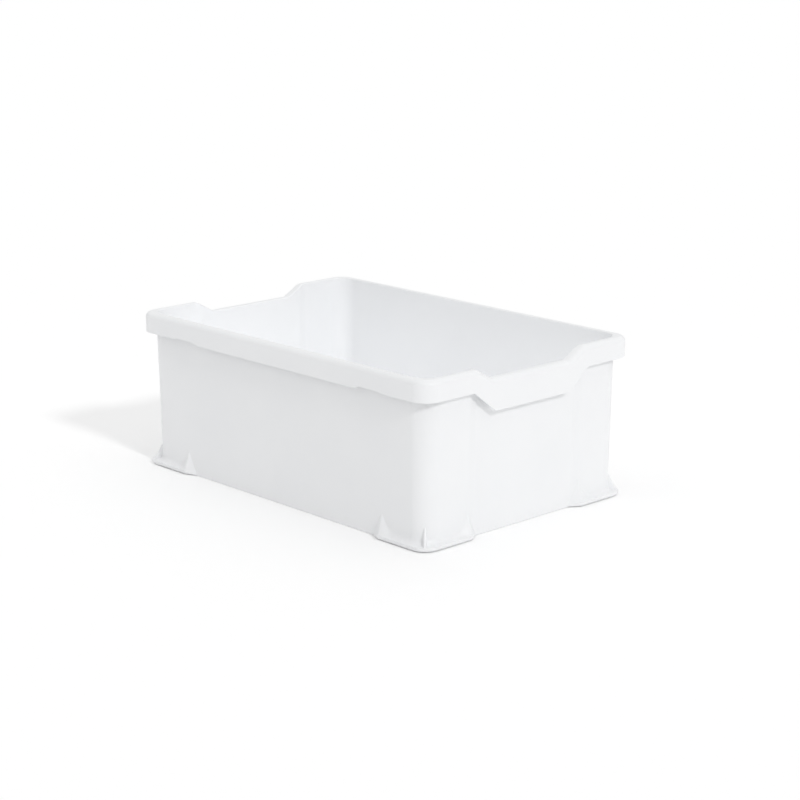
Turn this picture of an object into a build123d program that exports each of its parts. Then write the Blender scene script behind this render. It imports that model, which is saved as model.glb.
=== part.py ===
"""Stackable solid-walled harvest crate, moulded in one piece and divided into its named sections.

Millimetres, +Z up, +X along the crate. The origin is on the ground under the middle of the crate.
"""
import os
from math import isclose, radians, sqrt, tan

from build123d import *

# Overall size
crate_length = 600.0
crate_width = 400.0
crate_height = 230.0

# Walls, leaning outwards by a draft in degrees
wall_thickness = 3.0
wall_draft = 1.0
wall_corner_radius = 26.0
rim_overhang = 9.5
post_reach = 81.0
post_margin = 9.0

# Recess pressed into each end wall, behind the grip
recess_width = 216.0
recess_depth = 10.0
recess_splay = 9.0
recess_edge_radius = 5.0
recess_back_radius = 9.0

# Floor
floor_lift = 4.0
floor_thickness = 3.0
rib_thickness = 2.5
rib_rows = 3
rib_columns = 5

# Rim with its downturned skirt
rim_thickness = 3.0
rim_corner_radius = 25.0
rim_edge_radius = 8.0
rim_inner_radius = 2.0
rail_skirt = 31.0
pad_skirt = 29.5
notch_skirt = 27.5
notch_length = 51.0

# Lowered grip in each end of the rim
grip_width = 146.0
grip_slope = 29.0
grip_drop = 16.5
grip_skirt = 59.5
grip_bend_radius = 12.0
skirt_width = 142.0
skirt_slope = 39.0
pad_margin = 10.0

# Flared corner feet
foot_inset = 3.5
foot_lift = 2.5
foot_reach = 94.0
foot_corner_radius = 22.0
flange_thickness = 4.5
root_radius = 8.5
gusset_height = 36.0
gusset_side_run = 18.0
gusset_end_run = 48.0
gusset_corner_run = 21.0
gusset_tip_height = 4.5
fin_height = 28.0
fin_thickness = 3.0
fin_setback = 0.5

# Places that follow from the sizes above
half_length = crate_length / 2
half_width = crate_width / 2
draft_run = crate_height * tan(radians(wall_draft))
base_half_length = half_length - rim_overhang - draft_run
base_half_width = half_width - rim_overhang - draft_run
recess_half = recess_width / 2
grip_half = grip_width / 2
post_edge_x = half_length - post_reach
post_edge_y = recess_half + post_margin
slope_top_y = grip_half + grip_slope
skirt_half = skirt_width / 2
skirt_top_y = skirt_half + skirt_slope
pad_edge_y = slope_top_y + pad_margin
notch_edge_x = post_edge_x - notch_length
grip_top = crate_height - grip_drop
grip_bottom = crate_height - grip_skirt
pad_bottom = crate_height - pad_skirt
rail_bottom = crate_height - rail_skirt
notch_bottom = crate_height - notch_skirt
under_edge_flat = (2 - sqrt(2)) * (rim_edge_radius - rim_thickness)
foot_half_length = half_length - foot_inset
foot_half_width = half_width - foot_inset
foot_edge_x = half_length - foot_reach
foot_edge_y = recess_half + recess_edge_radius
flange_top = foot_lift + flange_thickness
flare = foot_half_width - base_half_width

# How far a cutting block reaches past the face that it cuts, and how it stands on a corner
clear = 20.0
corner_align = (Align.MIN, Align.MAX, Align.MIN)


def wall_plan(inset):
    """Sketch the plan of the walls at the ground, moved inwards by an inset."""
    back_x = base_half_length - recess_depth
    back_half = recess_half - recess_splay
    past_x = base_half_length + clear
    past_half = recess_half + recess_splay * clear / recess_depth
    with BuildSketch() as plan:
        RectangleRounded(2 * base_half_length, 2 * base_half_width, wall_corner_radius)
        for side in (-1, 1):
            with BuildLine():
                Polyline(
                    (side * past_x, -past_half),
                    (side * back_x, -back_half),
                    (side * back_x, back_half),
                    (side * past_x, past_half),
                    close=True,
                )
            make_face(mode=Mode.SUBTRACT)
        for corner_x, radius in ((back_x, recess_back_radius), (base_half_length, recess_edge_radius)):
            corners = plan.vertices().filter_by(
                lambda corner: isclose(abs(corner.X), corner_x) and abs(corner.Y) < post_edge_y
            )
            fillet(corners, radius)
        if inset:
            offset(amount=-inset, mode=Mode.REPLACE)
    return plan.sketch


def saddle_profile(drop):
    """Sketch, seen from the end, all that lies above the rim's top line lowered by a drop."""
    low = grip_top - drop
    high = crate_height - drop
    past_half = half_width + clear
    with BuildSketch(Plane.YZ) as profile:
        with BuildLine():
            FilletPolyline(
                (-past_half, high),
                (-slope_top_y, high),
                (-grip_half, low),
                (grip_half, low),
                (slope_top_y, high),
                (past_half, high),
                radius=grip_bend_radius,
            )
            Polyline(
                (past_half, high),
                (past_half, crate_height + clear),
                (-past_half, crate_height + clear),
                (-past_half, high),
            )
        make_face()
    return profile.sketch


def is_upright(face):
    """Tell whether a face stands upright, give or take the walls' draft."""
    return abs(face.normal_at().Z) < 2 * tan(radians(wall_draft))


def top_edges(faces):
    """Find the edges along the top of upright faces, leaving out the upright edges between them."""
    lowest_top = grip_top - 2 * rim_thickness
    steepest = 0.9
    edges = ShapeList([edge for face in faces for edge in face.edges()])
    return edges.filter_by(
        lambda edge: edge.center().Z > lowest_top and abs(edge.tangent_at(0.5).Z) < steepest
    )


def gusset(foot_plane, reach, left_run, right_run):
    """Make a gusset that narrows from its three-cornered foot on a wall to its tip at the flange's lip."""
    tip_share = gusset_tip_height / gusset_height
    corners = (-left_run, 0), (0, gusset_height), (right_run, 0)
    tip_corners = [(tip_share * x, tip_share * y) for x, y in corners]
    with BuildPart() as wedge:
        with BuildSketch(foot_plane):
            Polygon(*corners, align=None)
        with BuildSketch(foot_plane.offset(reach)):
            Polygon(*tip_corners, align=None)
        loft(ruled=True)
    return wedge.part


def save(solid, name):
    """Label a finished section and write its file."""
    solid.label = name
    export_step(solid, f"parts/{name}.step")


def save_pair(solid, plane, name, mirrored_name):
    """Save a section and its mirror image."""
    save(solid, name)
    save(mirror(solid, about=plane), mirrored_name)


def save_corners(solid, kind):
    """Save the front right corner's section and its images at the other three corners."""
    save_pair(solid, Plane.YZ, f"front_right_{kind}", f"front_left_{kind}")
    save_pair(mirror(solid, about=Plane.XZ), Plane.YZ, f"back_right_{kind}", f"back_left_{kind}")


# Plain outside of the walls, and the space inside them
with BuildPart() as wall_outside:
    extrude(wall_plan(0), amount=crate_height, taper=-wall_draft)

with BuildPart() as wall_inside:
    extrude(wall_plan(wall_thickness), amount=crate_height, taper=-wall_draft)

# All that lies above the rim's top, and above the walls' top under it
with BuildPart() as above_rim:
    extrude(saddle_profile(0), amount=half_length + clear, dir=(1, 0, 0), both=True)

with BuildPart() as above_walls:
    extrude(saddle_profile(rim_thickness), amount=half_length + clear, dir=(1, 0, 0), both=True)

with BuildPart() as wall_shell:
    add(wall_outside.part)
    add(wall_inside.part, mode=Mode.SUBTRACT)
    add(above_walls.part, mode=Mode.SUBTRACT)

# Space under the rim, flattened along its upper edge so that the rounded rim keeps its thickness there
with BuildPart() as under_rim:
    with BuildSketch(Plane.XY.offset(grip_bottom - clear)):
        RectangleRounded(
            crate_length - 2 * rim_thickness,
            crate_width - 2 * rim_thickness,
            rim_corner_radius - rim_thickness,
        )
    extrude(amount=grip_skirt + clear)
    add(above_walls.part, mode=Mode.SUBTRACT)
    chamfer(top_edges(under_rim.faces().filter_by(is_upright)), under_edge_flat)

# Rim all round: a top plate with a skirt turned down outside it
with BuildPart() as rim_ring:
    with BuildSketch(Plane.XY.offset(grip_bottom)):
        RectangleRounded(crate_length, crate_width, rim_corner_radius)
    extrude(amount=grip_skirt)
    add(above_rim.part, mode=Mode.SUBTRACT)
    fillet(top_edges(rim_ring.faces().filter_by(is_upright)), rim_edge_radius)
    add(wall_inside.part, mode=Mode.SUBTRACT)
    mouth_faces = rim_ring.faces().filter_by(is_upright).filter_by(
        lambda face: abs(face.center().X) < half_length - rim_overhang
        and abs(face.center().Y) < half_width - rim_overhang
    )
    fillet(top_edges(mouth_faces), rim_inner_radius)
    add(under_rim.part, mode=Mode.SUBTRACT)

# Floor, let in between the walls, with the rib grid that it stands on
with BuildPart() as floor_panel:
    add(wall_inside.part)
    with Locations((0, 0, floor_lift + floor_thickness / 2)):
        Box(crate_length, crate_width, floor_thickness, mode=Mode.INTERSECT)

with BuildPart() as floor_ribs:
    with GridLocations(0, crate_width / (rib_rows + 1), 1, rib_rows):
        Box(crate_length, rib_thickness, floor_lift, align=(Align.CENTER, Align.CENTER, Align.MIN))
    with GridLocations(crate_length / (rib_columns + 1), 0, rib_columns, 1):
        Box(rib_thickness, crate_width, floor_lift, align=(Align.CENTER, Align.CENTER, Align.MIN))
    add(wall_inside.part, mode=Mode.INTERSECT)

# Walls between the corner posts
with BuildPart() as front_wall:
    add(wall_shell.part)
    with Locations((0, -half_width, crate_height / 2)):
        Box(2 * post_edge_x, crate_width / 2, crate_height, mode=Mode.INTERSECT)

with BuildPart() as right_end_wall:
    add(wall_shell.part)
    with Locations((half_length, 0, crate_height / 2)):
        Box(crate_length / 2, 2 * post_edge_y, crate_height, mode=Mode.INTERSECT)

with BuildPart() as corner_post:
    add(wall_shell.part)
    with Locations((post_edge_x, -post_edge_y, 0)):
        Box(crate_length, crate_width, crate_height, align=corner_align, mode=Mode.INTERSECT)

# Rim sections
with BuildPart() as front_rim_rail:
    add(rim_ring.part)
    with BuildSketch(Plane.XZ.offset(half_width + clear)):
        with BuildLine():
            Polyline(
                (-post_edge_x, crate_height),
                (-post_edge_x, notch_bottom),
                (-notch_edge_x, notch_bottom),
                (-notch_edge_x, rail_bottom),
                (notch_edge_x, rail_bottom),
                (notch_edge_x, notch_bottom),
                (post_edge_x, notch_bottom),
                (post_edge_x, crate_height),
                close=True,
            )
        make_face()
    extrude(amount=-half_width, mode=Mode.INTERSECT)

with BuildPart() as right_grip_rail:
    add(rim_ring.part)
    with BuildSketch(Plane.YZ.offset(half_length + clear)):
        with BuildLine():
            Polyline(
                (-pad_edge_y, crate_height),
                (-pad_edge_y, pad_bottom),
                (-skirt_top_y, pad_bottom),
                (-skirt_half, grip_bottom),
                (skirt_half, grip_bottom),
                (skirt_top_y, pad_bottom),
                (pad_edge_y, pad_bottom),
                (pad_edge_y, crate_height),
                close=True,
            )
        make_face()
    extrude(amount=-half_length, mode=Mode.INTERSECT)

with BuildPart() as rim_pad:
    add(rim_ring.part)
    with Locations((post_edge_x, -pad_edge_y, pad_bottom)):
        Box(crate_length, crate_width, pad_skirt, align=corner_align, mode=Mode.INTERSECT)

# Fin across the foot's flange on the corner's diagonal, measured from the centre of the wall's corner
corner_centre = (base_half_length - wall_corner_radius, wall_corner_radius - base_half_width, flange_top)
lip_distance = sqrt(2) * (flare + wall_corner_radius - foot_corner_radius) + foot_corner_radius
with BuildPart() as corner_fin:
    with BuildSketch(Plane(origin=corner_centre, x_dir=(1, -1, 0), z_dir=(-1, -1, 0))):
        Polygon(
            (wall_corner_radius - wall_thickness, -flange_thickness / 2),
            (lip_distance - fin_setback, -flange_thickness / 2),
            (lip_distance - fin_setback, 0),
            (wall_corner_radius, fin_height),
            (wall_corner_radius - wall_thickness, fin_height),
            align=None,
        )
    extrude(amount=fin_thickness / 2, both=True)

# Flared corner foot: a flange with a rounded root, closed at both ends by a gusset
side_gusset_foot = (foot_edge_x, -base_half_width, foot_lift)
end_gusset_foot = (base_half_length - recess_depth, -foot_edge_y, foot_lift)
with BuildPart() as corner_foot:
    with BuildSketch(Plane.XY.offset(foot_lift)):
        RectangleRounded(2 * foot_half_length, 2 * foot_half_width, foot_corner_radius)
    extrude(amount=flange_thickness)
    add(wall_outside.part)
    with Locations((foot_edge_x, -foot_edge_y, foot_lift)):
        Box(crate_length, crate_width, crate_height, align=corner_align, mode=Mode.INTERSECT)
    level_edges = corner_foot.edges().filter_by_position(Axis.Z, flange_top, flange_top)
    fillet(level_edges.filter_by(lambda edge: edge.is_interior), root_radius)
    add(gusset(
        Plane(origin=side_gusset_foot, x_dir=(1, 0, 0), z_dir=(0, -1, 0)),
        flare,
        gusset_side_run,
        gusset_corner_run,
    ))
    add(gusset(
        Plane(origin=end_gusset_foot, x_dir=(0, 1, 0), z_dir=(1, 0, 0)),
        flare + recess_depth,
        gusset_corner_run,
        gusset_end_run,
    ))
    add(corner_fin.part)
    add(wall_outside.part, mode=Mode.SUBTRACT)

os.makedirs("parts", exist_ok=True)
save(floor_panel.part, "floor_panel")
save(floor_ribs.part, "floor_ribs")
save_pair(front_wall.part, Plane.XZ, "front_wall", "back_wall")
save_pair(right_end_wall.part, Plane.YZ, "right_end_wall", "left_end_wall")
save_pair(front_rim_rail.part, Plane.XZ, "front_rim_rail", "back_rim_rail")
save_pair(right_grip_rail.part, Plane.YZ, "right_grip_rail", "left_grip_rail")
save_corners(corner_post.part, "corner_post")
save_corners(corner_foot.part, "corner_foot")
save_corners(rim_pad.part, "rim_pad")
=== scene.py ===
"""Moulded white harvest crate: models each section of the moulding, its plastic finish and a plain studio."""
from math import atan, cos, hypot, pi, radians, sin, sqrt, tan
from typing import NamedTuple

import bmesh
import bpy
from bpy.props import FloatProperty, FloatVectorProperty, IntProperty, PointerProperty
from bpy.types import Operator, Panel, PropertyGroup
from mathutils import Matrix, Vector


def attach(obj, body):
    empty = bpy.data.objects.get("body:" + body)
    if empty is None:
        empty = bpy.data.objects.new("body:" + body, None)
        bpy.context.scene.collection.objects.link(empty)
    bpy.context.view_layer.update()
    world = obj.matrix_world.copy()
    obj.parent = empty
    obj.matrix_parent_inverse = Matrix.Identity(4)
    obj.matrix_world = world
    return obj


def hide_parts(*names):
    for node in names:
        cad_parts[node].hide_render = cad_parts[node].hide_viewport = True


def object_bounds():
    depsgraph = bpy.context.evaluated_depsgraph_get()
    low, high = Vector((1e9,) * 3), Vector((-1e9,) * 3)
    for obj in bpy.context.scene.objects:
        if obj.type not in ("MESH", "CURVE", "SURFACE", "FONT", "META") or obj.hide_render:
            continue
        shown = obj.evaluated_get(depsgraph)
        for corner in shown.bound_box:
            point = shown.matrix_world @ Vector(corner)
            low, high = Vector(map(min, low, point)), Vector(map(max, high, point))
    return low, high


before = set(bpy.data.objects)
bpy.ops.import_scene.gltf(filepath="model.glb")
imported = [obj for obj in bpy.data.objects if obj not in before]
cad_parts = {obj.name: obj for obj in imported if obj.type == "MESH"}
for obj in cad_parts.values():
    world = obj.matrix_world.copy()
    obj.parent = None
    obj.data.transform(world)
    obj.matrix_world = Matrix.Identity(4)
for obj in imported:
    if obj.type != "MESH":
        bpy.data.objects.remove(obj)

bl_info = {
    "name": "Harvest Crate",
    "version": (1, 0, 0),
    "blender": (4, 5, 0),
    "location": "3D View > Sidebar > Crate",
    "description": "Models a stacking harvest crate section by section, with its finish and a plain studio",
    "category": "Add Mesh",
}

cad_low, cad_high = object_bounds()
BODY = "root"
PLASTIC = "moulded_polyethylene"
CORNERS = (("front_right", 1, 1), ("front_left", -1, 1), ("back_right", 1, -1), ("back_left", -1, -1))
X, Y, Z = range(3)

# Two places closer than this are the same place, in metres
NEAR = 0.00002
# The same for a place on an arc, and for a vertex that lies in a cut
NEAR_ARC = 10 * NEAR
NEAR_CUT = NEAR / 10
# How far a cutting block reaches past what it cuts, in metres
CLEAR = 0.02
# How far a hidden edge sinks into the section that it blends into, in metres
SINK = 0.00005
# A plane with this side reaches one metre each way, so that its scale is its half size
PLANE_SIDE = 2

# Steps that round and swept forms are made in
CORNER_SEGMENTS = 10
EDGE_SEGMENTS = 5
BEND_SEGMENTS = 4
ROUNDING_SEGMENTS = 3
FINE_SEGMENTS = 2
COVE_STEPS = 6
SWEEP_CUTS = 5
FIN_STEPS = 5
# Profile of a bevel that is part of a circle
ROUND_PROFILE = 0.5
# Power of the curve in which a foot's root narrows towards a gusset's apex
SWEEP_CURVE = 1.15
# Share of its size that a gusset's far slope ends with
TIP_SHARE = 0.02

# Limits on the part of a face's normal along an axis, which tell how the face looks
SQUARE = 0.9
LEVEL = 0.8
UPRIGHT = 0.3
SLOPING_UP = 0.2
TURNED_BACK = -0.1
SLOPING_DOWN = -0.5
SMOOTH_ANGLE = radians(32)
FLAT_ANGLE = radians(1)

WHITE = (1, 1, 1, 1)
PLASTIC_IOR = 1.5
# Heights over which the feet and the rim carry rubbing marks, in metres; near the ground the marks also
# darken towards the bottom as painted shade under the feet's lip
GROUND_RUB_AND_SHADE = 0.02
TOP_RUB = 0.012
# Places of the two colours and the result among the sockets of a colour mix
MIX_FIRST, MIX_SECOND, MIX_RESULT = 6, 7, 2
FLOOR_ROUGHNESS = 0.9
# Share of the crate's height that the lights behind its walls cover
CARD_SHARE = 0.8
# Width of the camera's sensor, in millimetres
SENSOR_WIDTH = 36


def length(name, description, default):
    """Describe a length that a user may change, in metres."""
    return FloatProperty(
        name=name, description=description, default=default, min=0.0, unit="LENGTH", precision=4
    )


def angle(name, description, degrees):
    """Describe an angle that a user may change."""
    return FloatProperty(name=name, description=description, default=radians(degrees), subtype="ANGLE")


def color(name, description, default):
    """Describe a colour that a user may change."""
    return FloatVectorProperty(
        name=name, description=description, default=default, subtype="COLOR", size=3, min=0.0, max=1.0
    )


def strength(name, description, default):
    """Describe the strength of a light that a user may change."""
    return FloatProperty(name=name, description=description, default=default, min=0.0)


class CrateSizes(PropertyGroup):
    """Sizes of the crate's walls and floor."""

    length: length("Length", "Length over the rim", cad_high.x - cad_low.x)
    width: length("Width", "Width over the rim", cad_high.y - cad_low.y)
    height: length("Height", "Height from the ground to the rim's top", cad_high.z - cad_low.z)
    wall_thickness: length("Wall Thickness", "Thickness of the walls", 0.003)
    wall_draft: angle("Wall Draft", "Outward lean of the walls", 1.0)
    corner_radius: length("Corner Radius", "Radius of the walls' corners at the ground", 0.026)
    rim_overhang: length("Rim Overhang", "How far the rim stands out past the walls' top", 0.0095)
    post_reach: length("Post Reach", "Length of a corner post along a long side, from the rim's end", 0.081)
    post_margin: length("Post Margin", "How far a corner post stops short of the recess", 0.009)
    recess_width: length("Recess Width", "Width of the recess in each end wall", 0.216)
    recess_depth: length("Recess Depth", "Depth of the recess in each end wall", 0.003)
    recess_splay: length("Recess Splay", "How far each side of the recess slants inwards", 0.012)
    recess_edge_radius: length("Recess Edge", "Radius along the recess's outer edges at the ground", 0.025)
    recess_back_radius: length("Recess Back", "Radius along the recess's inner corners at the ground", 0.025)
    floor_lift: length("Floor Lift", "Height of the floor's underside", 0.004)
    floor_thickness: length("Floor Thickness", "Thickness of the floor", 0.003)
    floor_cove: length("Floor Cove", "Radius of the cove between the floor and the walls", 0.007)
    rib_thickness: length("Rib Thickness", "Thickness of the ribs under the floor", 0.0025)
    rib_rows: IntProperty(name="Rib Rows", description="Ribs along the crate", default=3, min=1)
    rib_columns: IntProperty(name="Rib Columns", description="Ribs across the crate", default=5, min=1)
    edge_rounding: length("Edge Rounding", "Radius on the moulding's free edges", 0.0008)
    base_rounding: length("Base Rounding", "Radius along the walls' lower edges", 0.0014)

    def lean(self, height):
        """Tell how far the walls stand out at a height, past where they stand at the ground."""
        return height * tan(self.wall_draft)

    @property
    def base_half_length(self):
        """Half the length of the walls at the ground."""
        return self.length / 2 - self.rim_overhang - self.lean(self.height)

    @property
    def base_half_width(self):
        """Half the width of the walls at the ground."""
        return self.width / 2 - self.rim_overhang - self.lean(self.height)

    @property
    def post_edge_x(self):
        """Where the corner posts and rim pads end along the long sides."""
        return self.length / 2 - self.post_reach

    @property
    def post_edge_y(self):
        """Where the corner posts end along the end walls."""
        return self.recess_width / 2 + self.post_margin


class RimSizes(PropertyGroup):
    """Sizes of the crate's rim and grips."""

    thickness: length("Thickness", "Thickness of the rim's top and skirt", 0.003)
    corner_radius: length("Corner Radius", "Radius of the rim's corners", 0.025)
    edge_radius: length("Edge Radius", "Radius of the rim's outer edge", 0.008)
    inner_radius: length("Inner Radius", "Radius of the rim's edge at the mouth", 0.002)
    rail_skirt: length("Rail Skirt", "Depth of the skirt along the long sides", 0.031)
    pad_skirt: length("Pad Skirt", "Depth of the skirt round the corners", 0.0295)
    notch_skirt: length("Notch Skirt", "Depth of the skirt in the notches beside the corners", 0.0275)
    notch_length: length("Notch Length", "Length of each notch", 0.051)
    notch_ramp: length("Notch Ramp", "Length of the slope at each end of a notch", 0.007)
    grip_width: length("Grip Width", "Width of the grip's level part", 0.146)
    grip_slope: length("Grip Slope", "Width of the slope on each side of the grip", 0.029)
    grip_drop: length("Grip Drop", "How far the grip lies below the rim's top", 0.0165)
    grip_skirt: length("Grip Skirt", "Depth of the grip's lower edge below the rim's top", 0.0595)
    skirt_width: length("Skirt Width", "Width of the lowest part of the grip's skirt", 0.142)
    skirt_slope: length("Skirt Slope", "Width of the slope on each side of the grip's skirt", 0.039)
    bend_radius: length("Bend Radius", "Radius where the rim bends down to the grip", 0.012)
    lower_bend_radius: length("Lower Bend Radius", "Radius at the corners of the grip's lower edge", 0.007)
    pad_margin: length("Pad Margin", "Level stretch of rim between a slope and a corner pad", 0.010)

    @property
    def grip_half(self):
        """Half the width of the grip's level part."""
        return self.grip_width / 2

    @property
    def slope_top_y(self):
        """Where the slopes beside the grip reach the rim's level."""
        return self.grip_half + self.grip_slope

    @property
    def pad_edge_y(self):
        """Where the corner pads end beside the grip."""
        return self.slope_top_y + self.pad_margin

    @property
    def slope_angle(self):
        """How steeply the rim goes down to the grip."""
        return atan(self.grip_drop / self.grip_slope)

    @property
    def bend_tangent(self):
        """How far from its corner a bend beside the grip starts."""
        return self.bend_radius * tan(self.slope_angle / 2)


class FootSizes(PropertyGroup):
    """Sizes of the crate's flared corner feet."""

    inset: length("Inset", "How far the feet stand inside the rim's outline", 0.0035)
    lift: length("Lift", "Height of the feet's underside", 0.0012)
    reach: length("Reach", "Length of a foot along a long side, from the rim's end", 0.094)
    end_reach: length("End Reach", "Length of a foot along an end, from the rim's side", 0.092)
    corner_radius: length("Corner Radius", "Radius of the feet's outer corner", 0.022)
    thickness: length("Thickness", "Thickness of the flange", 0.0058)
    lip_rounding: length("Lip Rounding", "Radius under the flange's lip", 0.0036)
    ridge_rounding: length("Ridge Rounding", "Radius along the gussets' ridges", 0.0016)
    crown: length("Crown", "How far the flange's top falls towards its lip", 0.0002)
    root_radius: length("Root Radius", "Radius between the flange and the wall", 0.0085)
    gusset_height: length("Gusset Height", "Height of the gussets that end each foot", 0.036)
    gusset_corner_run: length("Corner Run", "Length over which the flange sweeps up to a gusset", 0.021)
    gusset_side_run: length("Side Run", "Length of a gusset's far slope on the long side", 0.018)
    gusset_end_run: length("End Run", "Length of a gusset's far slope in the recess", 0.018)
    fin_height: length("Fin Height", "Height of the corner fin above the flange", 0.028)
    fin_reach: length("Fin Reach", "How far the corner fin reaches out over the flange", 0.015)
    fin_thickness: length("Fin Thickness", "Thickness of the corner fin along its edge", 0.0025)
    fin_root: length("Fin Root", "Thickness of the corner fin where it meets the flange", 0.0065)
    fin_hollow: length("Fin Hollow", "How far the fin's sloping edge is hollowed", 0.0015)
    fin_rounding: length("Fin Rounding", "Radius along the fin's edges", 0.0012)

    @property
    def top(self):
        """Height of the flange's top."""
        return self.lift + self.thickness

    def lip_half(self, size):
        """Half the size of the feet's outline, along the crate's length or width."""
        return size / 2 - self.inset


class FinishSettings(PropertyGroup):
    """Colour and surface of the moulded plastic."""

    plastic_color: color("Plastic", "Colour of the clean plastic", (0.895, 0.902, 0.912))
    shade_color: color("Flow Shade", "Colour of the duller clouds that moulding leaves", (0.88, 0.888, 0.90))
    # The scuff colour serves both rubbing on the rim and feet and, near the ground, painted shade under the
    # feet's lip
    scuff_and_shade_color: color("Scuffs", "Colour of light rubbing on the feet and the rim", (0.80, 0.80, 0.795))
    roughness: FloatProperty(
        name="Roughness", description="Roughness of the plain surface", subtype="FACTOR", min=0.0, max=1.0,
        default=0.42,
    )
    grain_depth: length("Grain Depth", "Depth of the fine grain left by the mould", 0.00004)
    wave_depth: length("Wave Depth", "Depth of the broad waves that cooling leaves", 0.0015)


class StageSettings(PropertyGroup):
    """Camera, floor and light of the studio."""

    lens: FloatProperty(name="Lens", description="Focal length on a 36 mm sensor, in mm", default=92.76)
    azimuth: angle("Azimuth", "Turn of the camera round the crate from its front", 46.59)
    elevation: angle("Elevation", "Height of the camera above the level", 14.53)
    distance: length("Distance", "Distance of the camera from its target", 2.98475)
    target: FloatVectorProperty(
        name="Target", description="Point that the camera looks at", subtype="TRANSLATION", size=3,
        default=(0.0, 0.04055, 0.10902),
    )
    floor_size: length("Floor Size", "Side of the pale floor", 80.0)
    floor_color: color("Floor", "Colour of the floor", (0.99, 0.99, 0.99))
    floor_glow: strength("Floor Glow", "Light that the floor gives off, as a backlit sweep does", 0.04)
    top_strength: strength("Top Light", "Strength of the broad light overhead", 1.035)
    side_strength: strength("Side Light", "Strength of the light from behind the camera", 0.43)
    top_tilt: angle("Top Tilt", "Lean of the overhead light towards the backdrop", 10)
    front_glow: strength("Front Glow", "Light that comes through the front wall into the crate", 0.54)
    end_glow: strength("End Glow", "Light that comes through the right end into the crate", 0.3)
    skirt_glow: strength("Skirt Glow", "Light that comes through the skirt of the right grip", 0.28)
    rim_glow: strength("Rim Glow", "Light that comes through the rim along the right end", 0.7)
    key_strength: strength("Key", "Strength of the soft key light", 0.79)
    key_azimuth: angle("Key Azimuth", "Turn of the key light from the crate's front", 81.5)
    key_elevation: angle("Key Elevation", "Height of the key light", 34.8)
    key_softness: angle("Key Softness", "Apparent size of the key light", 7)


# Selecting and shaping


def near(first, second):
    """Tell whether two places along an axis are the same."""
    return abs(first - second) < NEAR


def lies_at(item, axis, place):
    """Tell whether a vertex, an edge or a face lies at a place along an axis."""
    return all(near(corner.co[axis], place) for corner in getattr(item, "verts", [item]))


def on_axis(axis, place):
    """Give the point at a place on an axis."""
    point = [0, 0, 0]
    point[axis] = place
    return point


def alone(piece):
    """Select a piece alone and make it active."""
    bpy.ops.object.select_all(action="DESELECT")
    piece.select_set(True)
    bpy.context.view_layer.objects.active = piece


def edit(piece):
    """Open a piece's mesh for editing."""
    alone(piece)
    bpy.ops.object.mode_set(mode="EDIT")


def close_edit():
    """Close the mesh being edited and hand back its piece."""
    bpy.ops.object.mode_set(mode="OBJECT")
    return bpy.context.view_layer.objects.active


def pick(kind, test):
    """Select the vertices, edges or faces of the mesh being edited that pass a test."""
    bpy.ops.mesh.select_mode(type=kind)
    bpy.ops.mesh.select_all(action="DESELECT")
    piece = bpy.context.edit_object
    mesh = bmesh.from_edit_mesh(piece.data)
    group = {"VERT": mesh.verts, "EDGE": mesh.edges, "FACE": mesh.faces}[kind]
    chosen = [item for item in group if test(item)]
    if not chosen:
        raise RuntimeError(f"nothing to select among the {kind.lower()} items of {piece.name}")
    for item in chosen:
        item.select_set(True)
    mesh.select_flush_mode()
    bmesh.update_edit_mesh(piece.data)


def face_outwards():
    """Turn all faces of the mesh being edited outwards."""
    bpy.ops.mesh.select_mode(type="VERT")
    bpy.ops.mesh.select_all(action="SELECT")
    bpy.ops.mesh.normals_make_consistent(inside=False)


def bevel(affect, reach, segments):
    """Round off the selected edges or vertices, over a reach to each side."""
    bpy.ops.mesh.bevel(
        offset=reach, offset_type="OFFSET", segments=segments, profile=ROUND_PROFILE, affect=affect,
        clamp_overlap=False,
    )


def round_corners(test, tangent, segments):
    """Round the corners of a flat outline, starting each arc at a tangent length from its corner."""
    pick("VERT", test)
    bevel("VERTICES", tangent, segments)


def round_edges(test, radius, segments):
    """Round the edges that pass a test."""
    pick("EDGE", test)
    bevel("EDGES", radius, segments)


def slice_off(axis, place, side):
    """Cut the mesh being edited at a place along an axis, drop what lies to one side and close the cut."""
    bpy.ops.mesh.select_all(action="SELECT")
    bpy.ops.mesh.bisect(
        plane_co=on_axis(axis, place), plane_no=on_axis(axis, side), use_fill=True, clear_outer=True,
        threshold=NEAR_CUT,
    )


def score(axis, place):
    """Cut a line round the mesh being edited at a place along an axis, without dropping anything."""
    bpy.ops.mesh.select_all(action="SELECT")
    bpy.ops.mesh.bisect(plane_co=on_axis(axis, place), plane_no=on_axis(axis, 1), threshold=NEAR_CUT)


def extrude(shift):
    """Extrude the selected faces by a shift."""
    bpy.ops.mesh.extrude_region_move(TRANSFORM_OT_translate={"value": shift})


def move(shift):
    """Move what is selected by a shift."""
    bpy.ops.transform.translate(value=shift)


def scale_from(centre, share):
    """Scale what is selected from a point, by a share for each axis."""
    bpy.ops.transform.resize(value=share, center_override=centre)


def combine(piece, tool, operation):
    """Add a closed tool mesh to a piece, take it away, or keep what they share, and drop the tool."""
    alone(piece)
    modifier = piece.modifiers.new("Shape", "BOOLEAN")
    modifier.operation = operation
    modifier.solver = "MANIFOLD"
    modifier.object = tool
    bpy.ops.object.modifier_apply(modifier=modifier.name)
    bpy.data.objects.remove(tool)


def mirrored(piece, x_side, y_side):
    """Copy a piece, with a mesh of its own, to another corner or side of the crate."""
    alone(piece)
    bpy.ops.object.duplicate(linked=False)
    image = bpy.context.view_layer.objects.active
    image.scale = (x_side, y_side, 1)
    bpy.ops.object.transform_apply(location=False, rotation=False, scale=True)
    edit(image)
    face_outwards()
    return close_edit()


def start_block(size, centre):
    """Start a block in a new mesh."""
    bpy.ops.object.select_all(action="DESELECT")
    bpy.ops.mesh.primitive_cube_add(size=1, enter_editmode=True)
    bpy.ops.transform.resize(value=size)
    move(centre)


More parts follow.
